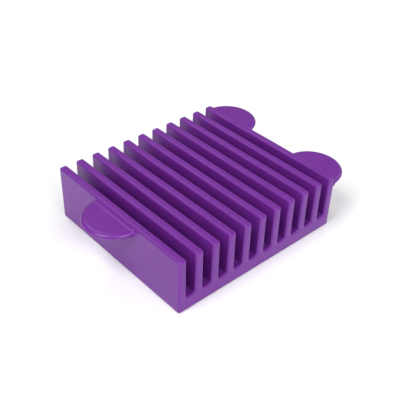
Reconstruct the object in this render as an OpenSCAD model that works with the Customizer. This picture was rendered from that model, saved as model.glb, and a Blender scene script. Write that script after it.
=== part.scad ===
// Silicone soap mould: a thick base with a row of upright walls that leave open-ended slots
// between them, and half-disc thumb tabs on the two outer walls.
// The real mould is one casting. It is divided here where the flat faces of its regions run on
// unbroken: the base plate with the filleted roots of the walls, each wall, and each tab.
// X runs along the slots, Y across them, Z up. The origin is the middle of the underside.

/* [Block] */
// Length of the walls and slots, along X
wall_l = 120; // [86:1:160]
// Height of the block, from the underside to the tops of the walls
block_h = 39; // [30:0.5:50]
// Thickness of the base under the slots
base_t = 9.7; // [6:0.1:14]
// Radius of the long bottom edges of the block
bottom_edge_r = 1.4; // [0.4:0.1:2]

/* [Walls] */
// Distance from one wall to the next
wall_pitch = 12.6; // [11:0.1:16]
// Thickness of a wall at its top
wall_t = 5.4; // [3:0.1:6]
// How much thicker a wall is at its root than at its top, on each face inside a slot
wall_draft = 0.25; // [0:0.05:0.5]
// Radius of the top edges of the walls
top_edge_r = 1.4; // [0.4:0.1:1.4]
// Radius of the fillet where a wall meets the floor of a slot
root_r = 1.5; // [0.6:0.1:2]

/* [Thumb tabs] */
// Radius of the half-disc tabs
tab_r = 20.2; // [12:0.1:21]
// Thickness of a tab at its rim
tab_t = 4.4; // [3:0.1:6]
// How far the flat top of a tab lies below the tops of the walls
tab_drop = 2.2; // [1.6:0.1:4]
// Radius of the fillet above a tab, where its top sweeps up into the wall
tab_top_r = 2.5; // [0.5:0.1:3]
// Radius of the fillet under a tab, where its underside meets the wall
tab_under_r = 3; // [1:0.1:6]
// How far the two back tabs reach past the ends of the wall
tab_past_end = 0.5; // [0:0.1:2]

/* [Look] */
// Colour of the silicone
silicone_colour = "#7b3fa0";
// Pieces in each quarter of a rounded edge or fillet
arc_steps = 6; // [3:1:10]

/* [Hidden] */
n_dividers = 9;
last_wall = n_dividers + 1;
block_w = last_wall * wall_pitch + wall_t;
// The walls are divided from the base at the top of the root fillets
cut_z = base_t + root_r;
slot_depth = block_h - base_t;
tab_top_z = block_h - tab_drop;
back_tab_x = wall_l / 2 + tab_past_end - tab_r;
// The tool body that rounds a tab reaches past the rim by this much
over = 1;
// Turn of the fillet above a tab, and how far out from the wall's face its centre lies. Where the
// tab lies deep enough, the fillet turns through 90 degrees and ends on the face.
edge_and_fillet = top_edge_r + tab_top_r;
sweep = acos(max(1 - tab_drop / edge_and_fillet, 0));
fillet_u = edge_and_fillet * sin(sweep) - top_edge_r;

// Middle of a wall: 0 is the front wall and last_wall the back one
function wall_y(i) = (i - last_wall / 2) * wall_pitch;

// Extra thickness on one face of a wall at height z
function draft_at(z) = wall_draft * (block_h - z) / slot_depth;

// Half of a wall's thickness at height z, on a face inside a slot
function half_t(z) = wall_t / 2 + draft_at(z);

// Points of an arc about c from angle a0 to angle a1
function arc(c, r, a0, a1) = [
    for (k = [0 : arc_steps])
        let (a = a0 + (a1 - a0) * k / arc_steps)
        c + r * [cos(a), sin(a)]
];

// Outline of the floor of the slot after wall i, from the back of the slot to its front
function slot_floor(i) = concat(
    arc([wall_y(i + 1) - half_t(cut_z) - root_r, cut_z], root_r, 0, -90),
    arc([wall_y(i) + half_t(cut_z) + root_r, cut_z], root_r, -90, -180)
);

// Point on the rounded top edge of an outer wall, outwards from its face and up, at an angle
function wall_edge(a) = [
    top_edge_r * (cos(a) - 1),
    block_h - top_edge_r + top_edge_r * sin(a)
];

// An outline drawn across the slots (Y, Z), run along X for a length
module run_along_x(length) {
    rotate([90, 0, 90])
        linear_extrude(height = length, center = true)
            children();
}

// Base under all the slots, with the roots of the walls standing on it
module base_plate() {
    bottom_front = arc([-block_w / 2 + bottom_edge_r, bottom_edge_r], bottom_edge_r, 180, 270);
    bottom_back = arc([block_w / 2 - bottom_edge_r, bottom_edge_r], bottom_edge_r, 270, 360);
    floors = [for (i = [n_dividers : -1 : 0]) each slot_floor(i)];
    color(silicone_colour)
        run_along_x(wall_l)
            polygon(concat(
                bottom_front,
                bottom_back,
                [[block_w / 2, cut_z]],
                floors,
                [[-block_w / 2, cut_z]]
            ));
}

// One upright wall. An outer face of the block is plumb, a face inside a slot has draft.
module wall(i) {
    front_half = i == 0 ? wall_t / 2 : half_t(cut_z);
    back_half = i == last_wall ? wall_t / 2 : half_t(cut_z);
    corner_y = wall_t / 2 - top_edge_r;
    corner_z = block_h - top_edge_r;
    color(silicone_colour)
        translate([0, wall_y(i), 0])
            run_along_x(wall_l)
                polygon(concat(
                    [[-front_half, cut_z], [back_half, cut_z]],
                    arc([corner_y, corner_z], top_edge_r, 0, 90),
                    arc([-corner_y, corner_z], top_edge_r, 90, 180)
                ));
}

// Outline through a tab, outwards from the wall's face (u) and up (z): a flat plate with a fillet
// above it, which runs smoothly into the rounded top edge of the wall, and a larger one under it
module tab_outline() {
    under_z = tab_top_z - tab_t;
    climb = 90 - sweep;
    on_edge = climb > 0 ? [for (a = [0 : 90 / arc_steps : climb - 0.01]) wall_edge(a)] : [];
    polygon(concat(
        on_edge,
        arc([fillet_u, tab_top_z + tab_top_r], tab_top_r, 270 - sweep, 270),
        [[tab_r + over, tab_top_z], [tab_r + over, under_z]],
        arc([tab_under_r, under_z - tab_under_r], tab_under_r, 90, 180)
    ));
}

// Half-disc tab on the back of the block, with its middle at x
module tab(x) {
    color(silicone_colour)
        translate([x, block_w / 2, 0])
            intersection() {
                run_along_x(2 * (tab_r + over))
                    tab_outline();
                cylinder(r = tab_r, h = block_h, $fn = 96);
            }
}

module front_wall() {
    wall(0);
}

module divider(i) {
    wall(i);
}

module back_wall() {
    wall(last_wall);
}

module front_tab() {
    mirror([0, 1, 0])
        tab(0);
}

module back_left_tab() {
    tab(-back_tab_x);
}

module back_right_tab() {
    tab(back_tab_x);
}

base_plate();
front_wall();
for (i = [1 : n_dividers])
    divider(i);
back_wall();
front_tab();
back_left_tab();
back_right_tab();
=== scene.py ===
"""Silicone soap mould: one casting with a thick base, upright walls with open-ended slots between
them, and half-disc thumb tabs on the two outer walls.

The base, each outer wall, the row of dividers and each tab are pieces of their own, placed by the
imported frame, in metres. X runs along the slots, Y across them from the wall with one tab to the
wall with two, Z up.
"""

import math

import bmesh
import bpy
from mathutils import Matrix, Vector


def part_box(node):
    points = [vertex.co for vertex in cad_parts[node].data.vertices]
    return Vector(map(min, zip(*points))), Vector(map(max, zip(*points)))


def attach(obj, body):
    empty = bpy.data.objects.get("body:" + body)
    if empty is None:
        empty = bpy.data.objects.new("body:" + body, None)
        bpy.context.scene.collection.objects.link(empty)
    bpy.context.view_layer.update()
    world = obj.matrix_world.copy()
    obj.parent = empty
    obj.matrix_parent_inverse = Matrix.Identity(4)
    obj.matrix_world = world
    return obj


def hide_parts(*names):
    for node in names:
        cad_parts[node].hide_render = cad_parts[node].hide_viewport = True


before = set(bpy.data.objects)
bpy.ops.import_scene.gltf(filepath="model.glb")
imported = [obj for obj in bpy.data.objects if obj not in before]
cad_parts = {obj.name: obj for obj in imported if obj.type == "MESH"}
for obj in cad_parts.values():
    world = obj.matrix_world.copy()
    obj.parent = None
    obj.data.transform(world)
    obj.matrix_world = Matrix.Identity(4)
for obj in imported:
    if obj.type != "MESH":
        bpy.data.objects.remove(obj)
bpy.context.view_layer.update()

MM = 0.001

# ---------------------------------------------------------------- sizes

DIVIDERS = [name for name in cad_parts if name.startswith("divider_")]


def size_of(node):
    """Size of a node of the frame along X, Y and Z."""
    low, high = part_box(node)
    return high - low


def middle_of(node):
    """Middle of a node of the frame."""
    low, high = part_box(node)
    return (low + high) / 2


WALL_LENGTH = size_of("base_plate").x
HALF_LENGTH = WALL_LENGTH / 2
HALF_WIDTH = size_of("base_plate").y / 2
CUT_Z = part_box("base_plate")[1].z
TOP_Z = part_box("back_wall")[1].z
PITCH = middle_of("divider_2").y - middle_of("divider_1").y

# A divider has draft on both faces and an outer wall on one, so their widths give the draft
ROOT_DRAFT = size_of("divider_1").y - size_of("back_wall").y
WALL_THICKNESS = size_of("divider_1").y - 2 * ROOT_DRAFT

ROOT_FILLET = 1.5 * MM
TOP_EDGE = 1.4 * MM
BOTTOM_EDGE = 1.4 * MM
END_EDGE = 1.4 * MM

TAB_RADIUS = size_of("front_tab").x / 2
TAB_TOP_FILLET = 2.5 * MM
TAB_UNDER_FILLET = 3.0 * MM
TAB_DROP = 2.2 * MM
TAB_TOP_Z = TOP_Z - TAB_DROP
TAB_UNDER_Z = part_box("front_tab")[0].z + TAB_UNDER_FILLET
# The rim is rounded over its whole thickness, and further in than up and down
RIM_HIGH = (TAB_TOP_Z - TAB_UNDER_Z) / 2
RIM_DEEP = 3.2 * MM
RIM_START = TAB_RADIUS - RIM_DEEP
TAB_FLARE = 1.0 * MM

# The fillet above a tab turns through this angle and runs into the rounded top edge of the wall
SWEEP = math.acos(1 - TAB_DROP / (TOP_EDGE + TAB_TOP_FILLET))
FILLET_OUT = (TOP_EDGE + TAB_TOP_FILLET) * math.sin(SWEEP) - TOP_EDGE
FILLET_START = FILLET_OUT - TAB_TOP_FILLET * math.sin(SWEEP)

# Steps round a rounded edge or fillet, round a tab's rim, across half a tab's flat, out over
# that flat, and along a divider
ARC_STEPS = 6
RIM_STEPS = 9
TAB_STEPS = 22
FLAT_STEPS = 6
WAVE_STEPS = 32
# A face keeps a narrow strip of its own beside each rounded edge, which keeps its shading flat
HOLD = 0.25 * MM
# Points closer than this are merged, and edges that turn more than this stay crisp
SAME_POINT = 0.001 * MM
SHARP_ANGLE = math.radians(40)


# ---------------------------------------------------------------- outlines and lofts

def arc(centre, radius, start, end, hollow=False):
    """Points of an arc, in degrees, each with the direction that points out of the silicone."""
    points = []
    for k in range(ARC_STEPS + 1):
        angle = math.radians(start + (end - start) * k / ARC_STEPS)
        across, up = math.cos(angle), math.sin(angle)
        out = (-across, -up) if hollow else (across, up)
        points.append(((centre[0] + radius * across, centre[1] + radius * up), out))
    return points


def with_hold(outline):
    """The outline with a point added just inside each end of its long flat stretches."""
    shortest = 4 * HOLD
    same_way = 0.99
    held = []
    for k, (point, out) in enumerate(outline):
        held.append((point, out))
        after, after_out = outline[(k + 1) % len(outline)]
        run = Vector(after) - Vector(point)
        if run.length < shortest or Vector(out).dot(Vector(after_out)) < same_way:
            continue
        step = run.normalized() * HOLD
        held.append((tuple(Vector(point) + step), out))
        held.append((tuple(Vector(after) - step), out))
    return held


def stations(steps):
    """Places along the slots, each with how far the outline has drawn in at the rounded ends."""
    half = []
    for k in range(ARC_STEPS + 1):
        angle = math.radians(90 * k / ARC_STEPS)
        x = HALF_LENGTH - END_EDGE + END_EDGE * math.sin(angle)
        half.append((x, END_EDGE * (1 - math.cos(angle))))
    flat_end = HALF_LENGTH - END_EDGE - HOLD
    inner = [(-flat_end + 2 * flat_end * k / steps, 0.0) for k in range(steps + 1)]
    return [(-x, inset) for x, inset in reversed(half)] + inner + half


def new_object(name, mesh):
    """A new object at the origin, put in the scene."""
    thing = bpy.data.objects.new(name, mesh)
    bpy.context.collection.objects.link(thing)
    return thing


def finish_mesh(shape, name):
    """A closed, smooth-shaded object with its faces turned outwards."""
    bmesh.ops.remove_doubles(shape, verts=shape.verts, dist=SAME_POINT)
    bmesh.ops.dissolve_degenerate(shape, edges=shape.edges, dist=SAME_POINT)
    bmesh.ops.recalc_face_normals(shape, faces=shape.faces)
    mesh = bpy.data.meshes.new(name)
    shape.to_mesh(mesh)
    shape.free()
    mesh.shade_smooth()
    mesh.set_sharp_from_angle(angle=SHARP_ANGLE)
    return new_object(name, mesh)


def cast_bar(name, outline, steps=2):
    """An outline across the slots run along them, with rounded ends."""
    outline = with_hold(outline)
    shape = bmesh.new()
    rings = []
    for x, inset in stations(steps):
        ring = []
        for (y, z), (out_y, out_z) in outline:
            ring.append(shape.verts.new((x, y - inset * out_y, z - inset * out_z)))
        rings.append(ring)
    count = len(outline)
    for ring, after in zip(rings, rings[1:]):
        for k in range(count):
            turn = (k + 1) % count
            shape.faces.new((ring[k], ring[turn], after[turn], after[k]))
    shape.faces.new(rings[0])
    shape.faces.new(list(reversed(rings[-1])))
    return finish_mesh(shape, name)


# ---------------------------------------------------------------- base and walls

def wall_middle(i):
    """Middle of a wall across the slots: 0 is the front wall, the last one the back wall."""
    return (i - (len(DIVIDERS) + 1) / 2) * PITCH


def base_outline():
    """Outline of the base: its underside, and the slot floors between the roots of the walls."""
    root_half = WALL_THICKNESS / 2 + ROOT_DRAFT
    outline = arc((-HALF_WIDTH + BOTTOM_EDGE, BOTTOM_EDGE), BOTTOM_EDGE, 180, 270)
    outline += arc((HALF_WIDTH - BOTTOM_EDGE, BOTTOM_EDGE), BOTTOM_EDGE, 270, 360)
    outline.append(((HALF_WIDTH, CUT_Z), (1, 0)))
    for i in reversed(range(len(DIVIDERS) + 1)):
        slot_back = wall_middle(i + 1) - root_half - ROOT_FILLET
        slot_front = wall_middle(i) + root_half + ROOT_FILLET
        outline += arc((slot_back, CUT_Z), ROOT_FILLET, 0, -90, hollow=True)
        outline += arc((slot_front, CUT_Z), ROOT_FILLET, -90, -180, hollow=True)
    outline.append(((-HALF_WIDTH, CUT_Z), (-1, 0)))
    return outline


def wall_outline(middle, front_draft, back_draft):
    """Outline of a wall from the top of its root up, with rounded top edges."""
    half = WALL_THICKNESS / 2
    corner = half - TOP_EDGE
    outline = [((middle - half - front_draft, CUT_Z), (-1, 0)),
               ((middle + half + back_draft, CUT_Z), (1, 0))]
    outline += arc((middle + corner, TOP_Z - TOP_EDGE), TOP_EDGE, 0, 90)
    outline += arc((middle - corner, TOP_Z - TOP_EDGE), TOP_EDGE, 90, 180)
    return outline


def row_tree():
    """Geometry Nodes tree that repeats one wall in a row and gives each a slight lean and wave."""
    growth = 1.5
    noise_between_walls = 7.3
    tree = bpy.data.node_groups.new("row of walls", "GeometryNodeTree")
    tree.interface.new_socket("Geometry", in_out="INPUT", socket_type="NodeSocketGeometry")
    tree.interface.new_socket("Count", in_out="INPUT", socket_type="NodeSocketInt")
    for label in ("Pitch", "Root Height", "Top Height", "Wave", "Wave Length", "Seed"):
        tree.interface.new_socket(label, in_out="INPUT", socket_type="NodeSocketFloat")
    tree.interface.new_socket("Material", in_out="INPUT", socket_type="NodeSocketMaterial")
    tree.interface.new_socket("Geometry", in_out="OUTPUT", socket_type="NodeSocketGeometry")
    nodes, links = tree.nodes, tree.links
    given = nodes.new("NodeGroupInput")
    result = nodes.new("NodeGroupOutput")

    def maths(operation, a, b=None):
        node = nodes.new("ShaderNodeMath")
        node.operation = operation
        for socket, value in zip(node.inputs, (a, b)):
            if isinstance(value, (int, float)):
                socket.default_value = value
            elif value is not None:
                links.new(value, socket)
        return node.outputs[0]

    # One point for each wall, centred on the origin
    reach = maths("MULTIPLY", maths("SUBTRACT", given.outputs["Count"], 1), given.outputs["Pitch"])
    first = nodes.new("ShaderNodeCombineXYZ")
    links.new(maths("MULTIPLY", reach, -0.5), first.inputs["Y"])
    step = nodes.new("ShaderNodeCombineXYZ")
    links.new(given.outputs["Pitch"], step.inputs["Y"])
    line = nodes.new("GeometryNodeMeshLine")
    line.mode = "OFFSET"
    links.new(given.outputs["Count"], line.inputs["Count"])
    links.new(first.outputs[0], line.inputs["Start Location"])
    links.new(step.outputs[0], line.inputs["Offset"])
    walls = nodes.new("GeometryNodeInstanceOnPoints")
    links.new(line.outputs["Mesh"], walls.inputs["Points"])
    links.new(given.outputs["Geometry"], walls.inputs["Instance"])
    real = nodes.new("GeometryNodeRealizeInstances")
    links.new(walls.outputs["Instances"], real.inputs["Geometry"])

    # The wave grows from nothing at the root to its full size at the top
    place = nodes.new("GeometryNodeInputPosition")
    parts = nodes.new("ShaderNodeSeparateXYZ")
    links.new(place.outputs[0], parts.inputs[0])
    above = maths("SUBTRACT", parts.outputs["Z"], given.outputs["Root Height"])
    tall = maths("SUBTRACT", given.outputs["Top Height"], given.outputs["Root Height"])
    rise = maths("POWER", maths("MAXIMUM", maths("DIVIDE", above, tall), 0.0), growth)
    wall_number = maths("ROUND", maths("DIVIDE", parts.outputs["Y"], given.outputs["Pitch"]))
    along = maths("DIVIDE", parts.outputs["X"], given.outputs["Wave Length"])
    spot = nodes.new("ShaderNodeCombineXYZ")
    links.new(along, spot.inputs["X"])
    links.new(maths("MULTIPLY", wall_number, noise_between_walls), spot.inputs["Y"])
    links.new(given.outputs["Seed"], spot.inputs["Z"])
    noise = nodes.new("ShaderNodeTexNoise")
    noise.inputs["Scale"].default_value = 1.0
    noise.inputs["Detail"].default_value = 0.0
    links.new(spot.outputs[0], noise.inputs["Vector"])
    sway = maths("MULTIPLY", maths("SUBTRACT", noise.outputs[0], 0.5), given.outputs["Wave"])
    shift = nodes.new("ShaderNodeCombineXYZ")
    links.new(maths("MULTIPLY", sway, rise), shift.inputs["Y"])
    move = nodes.new("GeometryNodeSetPosition")
    links.new(real.outputs[0], move.inputs["Geometry"])
    links.new(shift.outputs[0], move.inputs["Offset"])
    finish = nodes.new("GeometryNodeSetMaterial")
    links.new(move.outputs[0], finish.inputs["Geometry"])
    links.new(given.outputs["Material"], finish.inputs["Material"])
    links.new(finish.outputs[0], result.inputs[0])
    return tree


def row_of_dividers(material):
    """The walls between the slots, as one piece."""
    wall = cast_bar("divider", wall_outline(0, ROOT_DRAFT, ROOT_DRAFT), steps=WAVE_STEPS)
    tree = row_tree()
    row = wall.modifiers.new("row", "NODES")
    row.node_group = tree
    values = {"Count": len(DIVIDERS), "Pitch": PITCH, "Root Height": CUT_Z, "Top Height": TOP_Z,
              "Wave": 0.5 * MM, "Wave Length": 45 * MM, "Seed": 4.0, "Material": material}
    for item in tree.interface.items_tree:
        if item.in_out == "INPUT" and item.name in values:
            row[item.identifier] = values[item.name]
    bpy.context.view_layer.update()
    evaluated = wall.evaluated_get(bpy.context.evaluated_depsgraph_get())
    mesh = bpy.data.meshes.new_from_object(evaluated)
    bpy.data.objects.remove(wall)
    mesh.name = "dividers"
    return new_object("dividers", mesh)


# ---------------------------------------------------------------- thumb tabs

def fillet_rise(out, radius):
    """Height of a fillet of a wall at a distance out from the wall's face."""
    if out >= radius:
        return 0.0
    return radius - math.sqrt(max(radius * radius - (radius - out) ** 2, 0.0))


def top_rise(out):
    """Height of the fillet above a tab at a distance out from the wall's face."""
    if out >= FILLET_OUT:
        return 0.0
    past = min(FILLET_OUT - out, TAB_TOP_FILLET * math.sin(SWEEP))
    return TAB_TOP_FILLET - math.sqrt(TAB_TOP_FILLET ** 2 - past ** 2)


def rim_fall(reach):
    """How far the rounded rim of a tab has fallen away at a distance from the tab's middle."""
    past = (reach - RIM_START) / RIM_DEEP
    if past <= 0:
        return 0.0
    return RIM_HIGH * (1 - math.sqrt(max(1 - past * past, 0.0)))


def end_share(x):
    """Share of a tab's fillets that is left at a place across it: they fade out round its ends."""
    past = max(abs(x) - RIM_START, 0.0) / RIM_DEEP
    return math.sqrt(max(1 - past * past, 0.0))


def quarter(radius):
    """Distances that step evenly round a quarter circle, from 0 to its radius."""
    angles = [math.radians(90 * k / ARC_STEPS) for k in range(ARC_STEPS + 1)]
    return [radius * (1 - math.cos(angle)) for angle in angles]


def rim_rings():
    """Distances from a tab's middle that step evenly round its rounded rim."""
    angles = [math.radians(90 * k / RIM_STEPS) for k in range(RIM_STEPS + 1)]
    return [RIM_START + RIM_DEEP * math.sin(angle) for angle in angles]


def tab_columns():
    """Places across a tab, closer together where its rim turns into the wall."""
    flat = [RIM_START * k / TAB_STEPS for k in range(1, TAB_STEPS)]
    near_rim = rim_rings()[:-1]
    near_wall = [math.sqrt(TAB_RADIUS ** 2 - out ** 2) for out in quarter(TAB_FLARE)]
    half = sorted(flat + near_rim + near_wall)
    return [-x for x in reversed(half)] + [0.0] + half


def tab_rows(x):
    """Distances out from the wall, in order, at one place across a tab: fillets, flat and rim."""
    rim = [math.sqrt(max(ring * ring - x * x, 0.0)) for ring in [RIM_START - HOLD] + rim_rings()]
    turns = [SWEEP * k / ARC_STEPS for k in range(ARC_STEPS)]
    above = [FILLET_OUT - TAB_TOP_FILLET * math.sin(turn) for turn in turns]
    fillets = sorted(above + quarter(TAB_UNDER_FILLET)[1:] + [TAB_UNDER_FILLET + HOLD])
    flat = [fillets[-1] + (rim[0] - fillets[-1]) * k / FLAT_STEPS for k in range(1, FLAT_STEPS)]
    return [FILLET_START] + sorted(min(out, rim[-1]) for out in fillets + flat + rim)


def tab_heights(x, out):
    """Heights of a tab's top and of its underside at a place across it and a distance out."""
    share = end_share(x)
    fall = rim_fall(math.hypot(x, out))
    top_z = TAB_TOP_Z + share * top_rise(out) - fall
    under_z = TAB_UNDER_Z - share * fillet_rise(out, TAB_UNDER_FILLET) + fall
    return top_z, under_z


def tab_lines(shape, x, middle_x, side, flares):
    """A line of points out over a tab's top, and one out under it, both from inside the wall."""
    top_line, under_line = [], []
    for out in tab_rows(x):
        widen = fillet_rise(out, TAB_FLARE) / TAB_RADIUS if flares else 0.0
        place_x = middle_x + x * (1 + widen)
        place_y = side * (HALF_WIDTH + out)
        top_z, under_z = tab_heights(x, out)
        top_line.append(shape.verts.new((place_x, place_y, top_z)))
        under_line.append(shape.verts.new((place_x, place_y, under_z)))
    # The root reaches into the wall, so that no gap is left where the wall's end is rounded
    for line in (top_line, under_line):
        root = line[0].co.copy()
        root.x = max(min(root.x, HALF_LENGTH - END_EDGE), END_EDGE - HALF_LENGTH)
        root.y -= side * END_EDGE
        line.insert(0, shape.verts.new(root))
    return top_line, under_line


def cover(shape, top, under):
    """Faces over a tab's top and its underside, and round the edge between them."""
    for line, after in zip(top, top[1:]):
        for k in range(len(line) - 1):
            shape.faces.new((line[k], line[k + 1], after[k + 1], after[k]))
    for line, after in zip(under, under[1:]):
        for k in range(len(line) - 1):
            shape.faces.new((line[k], after[k], after[k + 1], line[k + 1]))
    for i in range(len(top) - 1):
        for k in (0, -1):
            shape.faces.new((top[i][k], top[i + 1][k], under[i + 1][k], under[i][k]))
    for i in (0, -1):
        for k in range(len(top[i]) - 1):
            shape.faces.new((top[i][k], top[i][k + 1], under[i][k + 1], under[i][k]))


def thumb_tab(name, node, flare_left, flare_right):
    """Half-disc tab on an outer wall, with a fillet above it, a larger one under it and a soft rim.

    Its outline flares into the wall at each side that is asked for; a side at a wall's end can't.
    """
    middle = middle_of(node)
    side = 1 if middle.y > 0 else -1
    shape = bmesh.new()
    top, under = [], []
    for x in tab_columns():
        flares = flare_left if x < 0 else flare_right
        top_line, under_line = tab_lines(shape, x, middle.x, side, flares)
        top.append(top_line)
        under.append(under_line)
    cover(shape, top, under)
    return finish_mesh(shape, name)


# ---------------------------------------------------------------- material

PURPLE = (0.137, 0.0172, 0.243, 1)
CLOUD_PURPLE = (0.147, 0.0198, 0.258, 1)
# Sizes of the noises, in waves per metre
CLOUD_SCALE = 60.0
GLOSS_SCALE = 140.0
SWELL_SCALE = 90.0
SKIN_SCALE = 900.0
# The part of a noise's range that is spread over a change of colour or of gloss
NOISE_LOW = 0.3
NOISE_HIGH = 0.7
# How much more the broad swell counts in the height than the fine skin
SWELL_SHARE = 6.0


def new_group(name, inputs, outputs):
    """Shader node group with its named inputs and outputs."""
    tree = bpy.data.node_groups.new(name, "ShaderNodeTree")
    for label, kind in inputs:
        tree.interface.new_socket(label, in_out="INPUT", socket_type=kind)
    for label, kind in outputs:
        tree.interface.new_socket(label, in_out="OUTPUT", socket_type=kind)
    return tree, tree.nodes.new("NodeGroupInput"), tree.nodes.new("NodeGroupOutput")


def cast_surface_group():
    """Cloudy pigment, patches of different gloss and a fine skin, as cast silicone has."""
    tree, given, result = new_group(
        "cast silicone surface",
        [("Colour", "NodeSocketColor"),
         ("Cloud Colour", "NodeSocketColor"),
         ("Cloud Scale", "NodeSocketFloat"),
         ("Skin Scale", "NodeSocketFloat"),
         ("Roughness Low", "NodeSocketFloat"),
         ("Roughness High", "NodeSocketFloat")],
        [("Colour", "NodeSocketColor"),
         ("Roughness", "NodeSocketFloat"),
         ("Height", "NodeSocketFloat")])
    nodes, links = tree.nodes, tree.links
    place = nodes.new("ShaderNodeTexCoord")

    def noise(scale, detail, roughness):
        node = nodes.new("ShaderNodeTexNoise")
        node.inputs["Detail"].default_value = detail
        node.inputs["Roughness"].default_value = roughness
        links.new(place.outputs["Object"], node.inputs["Vector"])
        if isinstance(scale, float):
            node.inputs["Scale"].default_value = scale
        else:
            links.new(scale, node.inputs["Scale"])
        return node.outputs[0]

    def stretched(value):
        """The busy part of a noise's range, spread over the whole way from one value to another."""
        node = nodes.new("ShaderNodeMapRange")
        node.inputs["From Min"].default_value = NOISE_LOW
        node.inputs["From Max"].default_value = NOISE_HIGH
        links.new(value, node.inputs["Value"])
        return node

    cloud = stretched(noise(given.outputs["Cloud Scale"], detail=4.0, roughness=0.55))
    colour = nodes.new("ShaderNodeMix")
    colour.data_type = "RGBA"
    links.new(cloud.outputs[0], colour.inputs[0])
    links.new(given.outputs["Colour"], colour.inputs[6])
    links.new(given.outputs["Cloud Colour"], colour.inputs[7])
    links.new(colour.outputs[2], result.inputs["Colour"])

    gloss = stretched(noise(GLOSS_SCALE, detail=3.0, roughness=0.6))
    links.new(given.outputs["Roughness Low"], gloss.inputs["To Min"])
    links.new(given.outputs["Roughness High"], gloss.inputs["To Max"])
    links.new(gloss.outputs[0], result.inputs["Roughness"])

    skin = noise(given.outputs["Skin Scale"], detail=2.0, roughness=0.5)
    swell = noise(SWELL_SCALE, detail=1.0, roughness=0.5)
    height = nodes.new("ShaderNodeMath")
    height.operation = "MULTIPLY_ADD"
    height.inputs[1].default_value = SWELL_SHARE
    links.new(swell, height.inputs[0])
    links.new(skin, height.inputs[2])
    links.new(height.outputs[0], result.inputs["Height"])
    return tree


def silicone_material():
    """Purple silicone with a soft satin skin."""
    material = bpy.data.materials.new("purple silicone")
    material.use_nodes = True
    nodes, links = material.node_tree.nodes, material.node_tree.links
    shader = nodes["Principled BSDF"]
    surface = nodes.new("ShaderNodeGroup")
    surface.node_tree = cast_surface_group()
    surface.inputs["Colour"].default_value = PURPLE
    surface.inputs["Cloud Colour"].default_value = CLOUD_PURPLE
    surface.inputs["Cloud Scale"].default_value = CLOUD_SCALE
    surface.inputs["Skin Scale"].default_value = SKIN_SCALE
    surface.inputs["Roughness Low"].default_value = 0.27
    surface.inputs["Roughness High"].default_value = 0.35
    links.new(surface.outputs["Colour"], shader.inputs["Base Color"])
    links.new(surface.outputs["Roughness"], shader.inputs["Roughness"])
    bump = nodes.new("ShaderNodeBump")
    bump.inputs["Strength"].default_value = 0.25
    bump.inputs["Distance"].default_value = 0.02 * MM
    links.new(surface.outputs["Height"], bump.inputs["Height"])
    links.new(bump.outputs["Normal"], shader.inputs["Normal"])
    shader.inputs["IOR"].default_value = 1.41
    shader.inputs["Specular IOR Level"].default_value = 0.46
    return material


# ---------------------------------------------------------------- stage

# Half the floor's size and how far off the lights stand, in metres
FLOOR_HALF = 3.0
LIGHT_DISTANCE = 4.0
# Brightness of the white room round the mould
ROOM_LIGHT = 0.33


def floor_material():
    """Nearly white, without shine."""
    material = bpy.data.materials.new("pale table")
    material.use_nodes = True
    shader = material.node_tree.nodes["Principled BSDF"]
    shader.inputs["Base Color"].default_value = (0.9, 0.9, 0.9, 1)
    shader.inputs["Roughness"].default_value = 0.6
    return material


def make_floor():
    """Plain pale floor under the mould."""
    half = FLOOR_HALF
    corners = [(-half, -half, 0), (half, -half, 0), (half, half, 0), (-half, half, 0)]
    mesh = bpy.data.meshes.new("floor")
    mesh.from_pydata(corners, [], [(0, 1, 2, 3)])
    floor = new_object("floor", mesh)
    mesh.materials.append(floor_material())


def direction(azimuth, elevation):
    """Unit vector from the mould towards a place in the room; azimuth 0 is in front, 90 at the right."""
    a, e = math.radians(azimuth), math.radians(elevation)
    return Vector((math.sin(a) * math.cos(e), -math.cos(a) * math.cos(e), math.sin(e)))


def aim(thing, place, target, roll=0.0):
    """Put a lamp or camera at a place, looking at a target."""
    turn = (Vector(target) - Vector(place)).to_track_quat("-Z", "Y").to_matrix()
    turn = turn @ Matrix.Rotation(math.radians(roll), 3, "Z")
    thing.matrix_world = Matrix.Translation(place) @ turn.to_4x4()


def soft_light(name, azimuth, elevation, width, watts):
    """Round white light that faces the mould; its width is in metres."""
    lamp = bpy.data.lights.new(name, "AREA")
    lamp.shape = "DISK"
    lamp.size = width
    lamp.energy = watts
    thing = new_object(name, lamp)
    aim(thing, direction(azimuth, elevation) * LIGHT_DISTANCE, (0, 0, 0))


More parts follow.
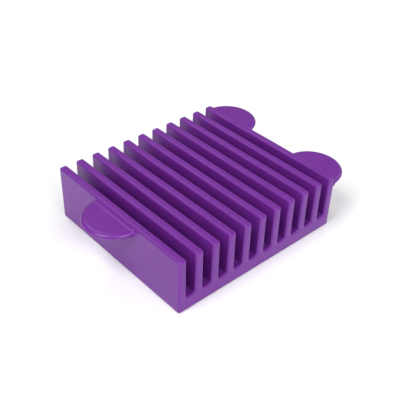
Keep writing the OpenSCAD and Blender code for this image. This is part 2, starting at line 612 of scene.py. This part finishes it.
def make_lights():
    """White studio: strong lights in front and at the right, weak ones behind and at the left."""
    world = bpy.data.worlds.new("studio")
    world.use_nodes = True
    background = world.node_tree.nodes["Background"]
    background.inputs["Color"].default_value = (1, 1, 1, 1)
    background.inputs["Strength"].default_value = ROOM_LIGHT
    bpy.context.scene.world = world
    soft_light("front high light", 0, 60, 2.0, 69)
    soft_light("front light", 0, 35, 2.0, 45)
    soft_light("right light", 84, 35, 2.0, 95)
    soft_light("far right light", 112, 38, 2.0, 8)
    soft_light("back light", 165, 35, 2.0, 13)
    soft_light("left light", -100, 52, 0.8, 18)


def make_camera():
    """Camera above the corner of the mould, as a hand-held close view has it."""
    camera = bpy.data.cameras.new("camera")
    camera.sensor_width = 36
    camera.lens = 62.24
    camera.clip_start = 0.01
    thing = new_object("camera", camera)
    place = Vector((270.568, -247.709, 290.766)) * MM
    target = Vector((4.454, -0.959, 19.5)) * MM
    aim(thing, place, target, roll=2.129)
    bpy.context.scene.camera = thing
    bpy.context.scene.view_settings.view_transform = "Standard"


# ---------------------------------------------------------------- assembly

def place_piece(piece, material, *nodes):
    """Give a piece its material and its place in the frame."""
    if not piece.data.materials:
        piece.data.materials.append(material)
    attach(piece, "root")
    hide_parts(*nodes)


def make_mould():
    """The seven pieces, each in place of the nodes that it stands for."""
    silicone = silicone_material()
    last = len(DIVIDERS) + 1
    place_piece(cast_bar("base", base_outline()), silicone, "base_plate")
    front = wall_outline(wall_middle(0), 0, ROOT_DRAFT)
    back = wall_outline(wall_middle(last), ROOT_DRAFT, 0)
    place_piece(cast_bar("wall_front", front), silicone, "front_wall")
    place_piece(cast_bar("wall_back", back), silicone, "back_wall")
    place_piece(row_of_dividers(silicone), silicone, *DIVIDERS)
    place_piece(thumb_tab("tab_front", "front_tab", True, True), silicone, "front_tab")
    place_piece(thumb_tab("tab_back_left", "back_left_tab", False, True), silicone, "back_left_tab")
    place_piece(thumb_tab("tab_back_right", "back_right_tab", True, False), silicone, "back_right_tab")


make_mould()
make_floor()
make_lights()
make_camera()
